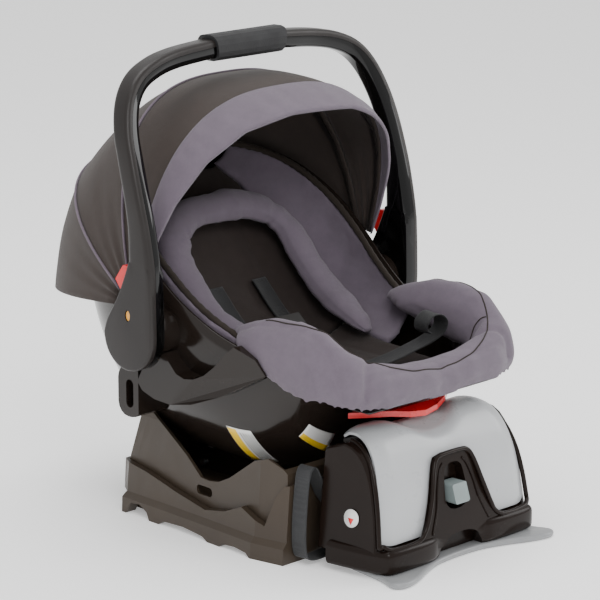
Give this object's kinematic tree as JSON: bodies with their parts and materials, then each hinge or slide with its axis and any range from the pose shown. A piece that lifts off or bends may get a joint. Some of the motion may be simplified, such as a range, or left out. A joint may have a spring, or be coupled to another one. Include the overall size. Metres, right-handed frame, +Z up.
{
  "type": "infant car seat",
  "caption": "Rear-facing infant car seat: padded carrier with turning carry handle, folding canopy and harness, latched on a vehicle base.",
  "frame": {"origin": "on the floor, under the middle of the whole object's bounding box", "axes": "+Z up; the child's feet point to -Y and the head to +Y; +X across, to the right seen from the feet"},
  "size_m": [0.486, 0.635, 0.6095],
  "materials": {
    "base_plastic": "satin, finely textured",
    "housing_plastic": "satin",
    "silver_plastic": "silver, satin",
    "shell_plastic": "glossy",
    "trim_plastic": "satin",
    "handle_matte": "matt",
    "handle_gloss": "high gloss",
    "red_plastic": "satin",
    "amber_plastic": "satin",
    "button_plastic": "satin",
    "grip_rubber": "matt",
    "canopy_fabric": "plain weave, dark brown",
    "cover_fabric": "brushed, grey",
    "centre_fabric": "brushed, dark brown",
    "foam": "moulded foam",
    "webbing": "woven strap",
    "steel": "plated"
  },
  "bodies": {
    "base": {"base_skirt": "base_plastic", "base_tub": "base_plastic", "front_housing": "housing_plastic", "hood": "silver_plastic", "anchor_webbing": "webbing", "anchor_connector_right": "steel", "anchor_connector_left": "steel"},
    "carrier": {"carrier_shell": "shell_plastic", "runner_right": "shell_plastic", "runner_left": "shell_plastic", "latch_bar_front": "steel", "latch_bar_rear": "steel", "belt_guide_right": "shell_plastic", "belt_guide_left": "shell_plastic", "slot_bracket_right": "shell_plastic", "slot_bracket_left": "shell_plastic", "hub_boss_right": "shell_plastic", "hub_boss_left": "shell_plastic", "pivot_bolt_right": "steel", "pivot_bolt_left": "steel", "foam_liner": "foam", "pad_seat": "centre_fabric", "pad_back": "centre_fabric", "pad_side_right": "cover_fabric", "pad_side_left": "cover_fabric", "pad_apron": "cover_fabric", "insert_right": "cover_fabric", "insert_left": "cover_fabric", "insert_head": "cover_fabric", "shoulder_strap_right": "webbing", "shoulder_strap_left": "webbing", "buckle": "trim_plastic", "tongue_right": "steel", "tongue_left": "steel", "crotch_strap": "webbing", "chest_clip_left": "trim_plastic", "chest_clip_right": "trim_plastic", "adjuster_strap": "webbing", "canopy_mount_right": "trim_plastic", "canopy_mount_left": "trim_plastic"},
    "handle": {"handle_outer": "handle_matte", "handle_inner": "handle_gloss", "handle_indicator_right": "amber_plastic", "handle_indicator_left": "amber_plastic", "grip_sleeve": "grip_rubber"},
    "handle_button_right": {"handle_button_right": "red_plastic"},
    "handle_button_left": {"handle_button_left": "red_plastic"},
    "canopy_front": {"canopy_bow_front": "trim_plastic", "canopy_band": "cover_fabric", "canopy_panel_front": "canopy_fabric"},
    "canopy_middle": {"canopy_bow_middle": "trim_plastic", "canopy_panel_middle": "canopy_fabric"},
    "canopy_rear": {"canopy_bow_rear": "trim_plastic", "canopy_panel_rear": "canopy_fabric"},
    "release_lever": {"release_lever": "red_plastic"},
    "latch_hook_front": {"latch_hook_front": "steel"},
    "latch_hook_rear": {"latch_hook_rear": "steel"},
    "recline_button": {"recline_button": "button_plastic"},
    "recline_foot": {"recline_foot": "silver_plastic"},
    "buckle_button": {"buckle_button": "red_plastic"}
  },
  "joints": [
    {"name": "carrier_lift", "type": "slide", "parent": "base", "child": "carrier", "axis": [0, 0, 1], "range_m": [0, 0.25]},
    {"name": "handle_turn", "type": "hinge", "parent": "carrier", "child": "handle", "pos_m": [0, 0.04354, 0.263], "axis": [1, 0, 0], "range_deg": [-108, 95]},
    {"name": "handle_button_right_press", "type": "slide", "parent": "handle", "child": "handle_button_right", "axis": [0, -1, 0], "range_m": [0, 0.006], "stiffness_N_per_m": 600},
    {"name": "handle_button_left_press", "type": "slide", "parent": "handle", "child": "handle_button_left", "axis": [0, -1, 0], "range_m": [0, 0.006], "stiffness_N_per_m": 600},
    {"name": "canopy_front_fold", "type": "hinge", "parent": "carrier", "child": "canopy_front", "pos_m": [0, 0.06654, 0.292], "axis": [-1, 0, 0], "range_deg": [0, 75], "deforming": ["canopy_band", "canopy_panel_front"]},
    {"name": "canopy_middle_fold", "type": "hinge", "parent": "carrier", "child": "canopy_middle", "pos_m": [0, 0.06654, 0.292], "axis": [-1, 0, 0], "range_deg": [0, 53], "deforming": ["canopy_panel_middle"]},
    {"name": "canopy_rear_fold", "type": "hinge", "parent": "carrier", "child": "canopy_rear", "pos_m": [0, 0.06654, 0.292], "axis": [-1, 0, 0], "range_deg": [0, 20.5], "deforming": ["canopy_panel_rear"]},
    {"name": "release_lever_pull", "type": "slide", "parent": "base", "child": "release_lever", "axis": [0, -1, 0], "range_m": [0, 0.006], "stiffness_N_per_m": 700},
    {"name": "latch_hook_front_swing", "type": "hinge", "parent": "base", "child": "latch_hook_front", "pos_m": [0, -0.09746, 0.0444], "axis": [-1, 0, 0], "range_deg": [0, 10.5]},
    {"name": "latch_hook_rear_swing", "type": "hinge", "parent": "base", "child": "latch_hook_rear", "pos_m": [0, 0.08654, 0.0444], "axis": [1, 0, 0], "range_deg": [0, 10.5]},
    {"name": "recline_button_press", "type": "slide", "parent": "base", "child": "recline_button", "axis": [0, 1, 0], "range_m": [0, 0.006], "stiffness_N_per_m": 700},
    {"name": "recline_foot_swing", "type": "hinge", "parent": "base", "child": "recline_foot", "pos_m": [0, -0.21146, 0.0042], "axis": [1, 0, 0], "range_deg": [0, 12]},
    {"name": "buckle_button_press", "type": "slide", "parent": "carrier", "child": "buckle_button", "axis": [0, 0.3429, -0.9394], "range_m": [0, 0.003], "stiffness_N_per_m": 1000}
  ],
  "couplings": [
    {"joint": "canopy_middle_fold", "follows": "canopy_front_fold", "ratio": 0.7},
    {"joint": "canopy_rear_fold", "follows": "canopy_front_fold", "ratio": 0.27},
    {"joint": "latch_hook_front_swing", "follows": "release_lever_pull", "rad_per_m": 29},
    {"joint": "latch_hook_rear_swing", "follows": "release_lever_pull", "rad_per_m": 29}
  ]
}
